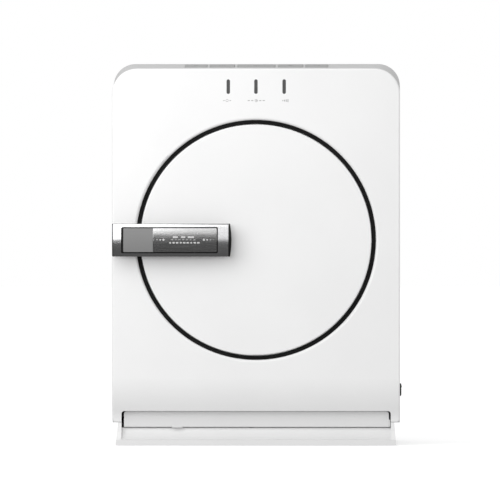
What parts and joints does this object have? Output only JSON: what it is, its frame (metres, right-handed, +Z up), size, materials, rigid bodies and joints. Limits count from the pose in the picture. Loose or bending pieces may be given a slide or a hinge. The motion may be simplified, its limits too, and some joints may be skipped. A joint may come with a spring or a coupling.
{
  "type": "clothes dryer",
  "caption": "Compact front-loading tumble dryer: white case, round hinged door with bar handle, driven drum, filter drawer, keys on a sloping deck.",
  "frame": {"origin": "middle of the footprint, at floor level", "axes": "+Z up, front faces -Y, +X to the right seen from the front"},
  "size_m": [0.5037, 0.496, 0.665],
  "materials": {
    "white_moulding": "smooth, softly glossy white moulding",
    "drawer_white": "off-white moulded plastic, fine grain",
    "deck_grey": "fine satin light grey",
    "key_grey": "satin mid grey",
    "white_sheet": "white powder coat, faint orange peel",
    "zinc_sheet": "zinc-coated sheet, faint spangle",
    "black_rubber": "matte black rubber",
    "grey_felt": "pressed grey felt",
    "chrome_trim": "satin chrome",
    "brushed_plate": "brushed along its length",
    "release_grey": "flat grey",
    "black_cap": "black, semi-gloss",
    "smoked_lens": "dark smoked lens",
    "inner_plastic": "grey moulded plastic",
    "drum_steel": "brushed stainless steel",
    "machined_steel": "machined, lightly oiled",
    "motor_metal": "cast, fine grained",
    "heater_metal": "fins, slightly heat-tinted",
    "roller_plastic": "natural acetal",
    "magnet_plastic": "black block",
    "board_green": "green board with dark parts",
    "loom_black": "black sleeve"
  },
  "bodies": {
    "cabinet": {"front_panel": "white_moulding", "indicator_lenses": "smoked_lens", "door_ring_seal": "black_rubber", "top_cover": "deck_grey", "plinth_front": "white_moulding", "base_pan": "white_sheet", "rubber_feet": "black_rubber", "left_side_panel": "white_sheet", "right_side_panel": "white_sheet", "rear_panel": "zinc_sheet", "panel_screws": "machined_steel", "front_bulkhead": "zinc_sheet", "rear_bulkhead": "zinc_sheet", "drum_felt_seal": "grey_felt", "bearing_housing": "inner_plastic", "front_air_duct": "inner_plastic", "heater_housing": "zinc_sheet", "heater_element": "heater_metal", "thermostat": "zinc_sheet", "roller_brackets": "zinc_sheet", "motor_housing": "motor_metal", "motor_bracket": "zinc_sheet", "drive_belt": "black_rubber", "blower_housing": "inner_plastic", "exhaust_duct": "inner_plastic", "exhaust_collar": "inner_plastic", "hinge_bracket": "machined_steel", "magnet_catch": "magnet_plastic", "control_board": "board_green", "wiring_harness": "loom_black", "power_inlet": "black_cap", "rocker_bezel": "black_cap"},
    "drum": {"drum_shell": "drum_steel", "drum_back": "drum_steel", "drum_baffles": "inner_plastic", "drum_shaft": "machined_steel"},
    "roller_left": {"roller_left": "roller_plastic"},
    "roller_right": {"roller_right": "roller_plastic"},
    "rotor": {"motor_shaft": "machined_steel", "motor_pulley": "machined_steel", "blower_wheel": "inner_plastic"},
    "door": {"door_skin": "white_moulding", "door_liner": "inner_plastic", "door_gasket": "black_rubber", "hinge_arms": "machined_steel", "keeper_plate": "machined_steel", "handle_foot": "black_cap", "handle_bar": "chrome_trim", "handle_end_cap": "black_cap", "handle_nameplate": "brushed_plate"},
    "release_button": {"release_button": "release_grey"},
    "rocker": {"rocker_switch": "black_cap"},
    "drawer": {"drawer_front": "drawer_white", "drawer_tray": "inner_plastic", "lint_filter": "inner_plastic"},
    "key_1": {"key_1": "key_grey"},
    "key_2": {"key_2": "key_grey"},
    "key_3": {"key_3": "key_grey"},
    "key_4": {"key_4": "key_grey"},
    "key_5": {"key_5": "key_grey"}
  },
  "joints": [
    {"name": "door_hinge", "type": "hinge", "parent": "cabinet", "child": "door", "pos_m": [0.219, -0.203, 0.3573], "axis": [0, 0, 1], "range_deg": [0, 110]},
    {"name": "drum_spin", "type": "hinge", "parent": "cabinet", "child": "drum", "pos_m": [0, 0, 0.3573], "axis": [0, 1, 0], "continuous": true},
    {"name": "rotor_spin", "type": "hinge", "parent": "cabinet", "child": "rotor", "pos_m": [0.172, 0, 0.108], "axis": [0, 1, 0], "continuous": true},
    {"name": "roller_left_spin", "type": "hinge", "parent": "cabinet", "child": "roller_left", "pos_m": [-0.1295, -0.14, 0.15015], "axis": [0, 1, 0], "continuous": true},
    {"name": "roller_right_spin", "type": "hinge", "parent": "cabinet", "child": "roller_right", "pos_m": [0.1295, -0.14, 0.15015], "axis": [0, 1, 0], "continuous": true},
    {"name": "release_press", "type": "slide", "parent": "door", "child": "release_button", "axis": [0, 1, 0], "range_m": [0, 0.004], "stiffness_N_per_m": 300, "springref_m": -0.002},
    {"name": "rocker_tilt", "type": "hinge", "parent": "cabinet", "child": "rocker", "pos_m": [0.246, -0.163, 0.09675], "axis": [0, -1, 0], "range_deg": [0, 14]},
    {"name": "drawer_slide", "type": "slide", "parent": "cabinet", "child": "drawer", "axis": [0, -1, 0], "range_m": [0, 0.15]},
    {"name": "key_1_press", "type": "slide", "parent": "cabinet", "child": "key_1", "axis": [0, 0.1272, -0.9919], "range_m": [0, 0.0012], "stiffness_N_per_m": 300, "springref_m": -0.002},
    {"name": "key_2_press", "type": "slide", "parent": "cabinet", "child": "key_2", "axis": [0, 0.1272, -0.9919], "range_m": [0, 0.0012], "stiffness_N_per_m": 300, "springref_m": -0.002},
    {"name": "key_3_press", "type": "slide", "parent": "cabinet", "child": "key_3", "axis": [0, 0.1272, -0.9919], "range_m": [0, 0.0012], "stiffness_N_per_m": 300, "springref_m": -0.002},
    {"name": "key_4_press", "type": "slide", "parent": "cabinet", "child": "key_4", "axis": [0, 0.1272, -0.9919], "range_m": [0, 0.0012], "stiffness_N_per_m": 300, "springref_m": -0.002},
    {"name": "key_5_press", "type": "slide", "parent": "cabinet", "child": "key_5", "axis": [0, 0.1272, -0.9919], "range_m": [0, 0.0012], "stiffness_N_per_m": 300, "springref_m": -0.002}
  ],
  "couplings": [
    {"joint": "rotor_spin", "follows": "drum_spin", "ratio": 18.016},
    {"joint": "roller_left_spin", "follows": "drum_spin", "ratio": -10.091},
    {"joint": "roller_right_spin", "follows": "drum_spin", "ratio": -10.091}
  ]
}
